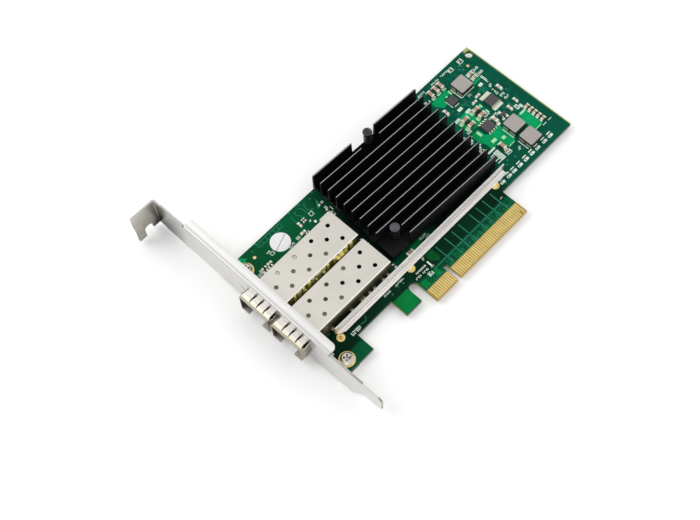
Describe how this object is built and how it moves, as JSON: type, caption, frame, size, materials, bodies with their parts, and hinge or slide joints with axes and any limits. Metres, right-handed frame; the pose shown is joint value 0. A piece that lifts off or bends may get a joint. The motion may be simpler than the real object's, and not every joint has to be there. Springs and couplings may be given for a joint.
{
  "type": "network interface card",
  "caption": "PCI Express network card with fibre module cages, finned black heat sink, stiffener bar and full-height steel bracket.",
  "frame": {"origin": "middle of the edge connector's key notch, at the contact tips, on the component face of the board", "axes": "+X from the bracket along the board's length to its far end, +Y from the edge connector to the board's upper edge, +Z out of the component face"},
  "size_m": [0.1544, 0.12, 0.0195],
  "materials": {
    "board_laminate": "green solder mask, semi-gloss",
    "contact_gold": "hard gold plate, bright",
    "ring_gold": "gold plate",
    "bracket_steel": "bright zinc-plated steel",
    "screw_steel": "nickel-plated steel",
    "cage_steel": "matte nickel-plated sheet",
    "spring_steel": "bright spring sheet",
    "connector_plastic": "black moulded plastic",
    "light_plastic": "black moulded plastic",
    "light_lens": "clear moulded lens",
    "chip_substrate": "laminate",
    "chip_lid": "nickel-plated lid",
    "thermal_pad": "soft pad",
    "sink_anodised": "black anodised extrusion, bare fin edges",
    "pin_nylon": "black nylon",
    "pin_spring": "dark spring wire",
    "bar_steel": "bright plated steel",
    "inductor_ferrite": "pressed grey ferrite",
    "tinned_copper": "tin plate",
    "package_resin": "black moulded resin",
    "ceramic_body": "brown ceramic",
    "sticker_paper": "white paper"
  },
  "bodies": {
    "root": {"circuit_board": "board_laminate", "edge_contacts_top": "contact_gold", "edge_contacts_bottom": "contact_gold", "plated_rings": "ring_gold", "mounting_bracket": "bracket_steel", "bracket_screws": "screw_steel", "cage_shell_1": "cage_steel", "cage_base_1": "cage_steel", "spring_collar_1": "spring_steel", "host_connector_1": "connector_plastic", "cage_shell_2": "cage_steel", "cage_base_2": "cage_steel", "spring_collar_2": "spring_steel", "host_connector_2": "connector_plastic", "light_bodies": "light_plastic", "light_lenses": "light_lens", "controller_substrate": "chip_substrate", "controller_lid": "chip_lid", "thermal_pad": "thermal_pad", "heat_sink": "sink_anodised", "push_pin_1": "pin_nylon", "push_pin_spring_1": "pin_spring", "push_pin_2": "pin_nylon", "push_pin_spring_2": "pin_spring", "stiffener_bar": "bar_steel", "power_inductor_1": "inductor_ferrite", "power_inductor_2": "inductor_ferrite", "power_inductor_3": "inductor_ferrite", "inductor_terminals": "tinned_copper", "voltage_regulator": "package_resin", "logic_package": "package_resin", "logic_leads": "tinned_copper", "memory_package": "package_resin", "memory_leads": "tinned_copper", "transistor_package": "package_resin", "transistor_leads": "tinned_copper", "capacitor_bodies": "ceramic_body", "capacitor_ends": "tinned_copper", "round_sticker": "sticker_paper"}
  },
  "joints": []
}
